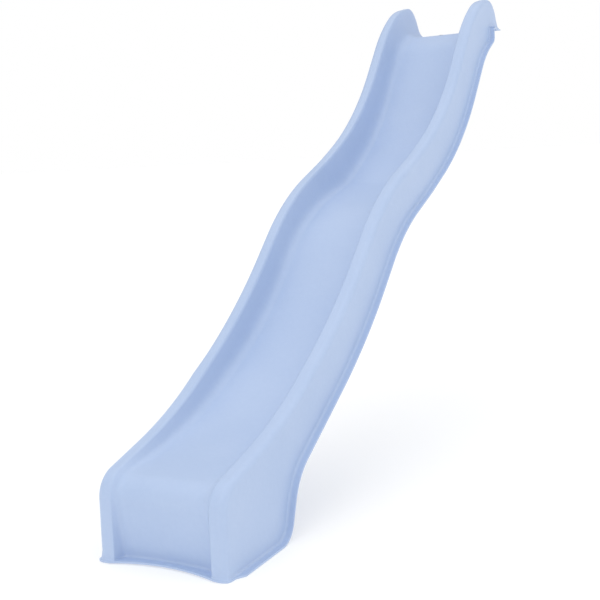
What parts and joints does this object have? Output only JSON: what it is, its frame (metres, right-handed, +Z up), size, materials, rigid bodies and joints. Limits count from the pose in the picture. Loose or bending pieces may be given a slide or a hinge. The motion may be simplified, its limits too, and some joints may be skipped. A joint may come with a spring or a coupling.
{
  "type": "wave slide",
  "caption": "One-piece moulded plastic chute with a wavy bed, box rails, a standing foot and a lip that screws down to a raised platform.",
  "frame": {"origin": "on the ground, under the middle of the slide's outline seen from above", "axes": "+Z up, +Y from the foot towards the platform, +X to the right of someone looking up the chute"},
  "size_m": [0.456, 2.401, 1.6382],
  "materials": {
    "chute_plastic": "satin, light blue, fine grain",
    "cap_plastic": "smooth, slightly darker blue",
    "zinc_steel": "zinc plated",
    "inlet_plastic": "black, satin",
    "seal_rubber": "matt",
    "brass": "turned"
  },
  "bodies": {
    "root": {"chute_shell": "chute_plastic", "lip_screw_left": "zinc_steel", "lip_washer_left": "zinc_steel", "cap_seat_left": "cap_plastic", "snap_cap_left": "cap_plastic", "lip_screw_middle": "zinc_steel", "lip_washer_middle": "zinc_steel", "cap_seat_middle": "cap_plastic", "snap_cap_middle": "cap_plastic", "lip_screw_right": "zinc_steel", "lip_washer_right": "zinc_steel", "cap_seat_right": "cap_plastic", "snap_cap_right": "cap_plastic", "water_nozzle": "inlet_plastic", "nozzle_seal": "seal_rubber", "nozzle_nut": "brass", "hose_tail": "brass"}
  },
  "joints": []
}
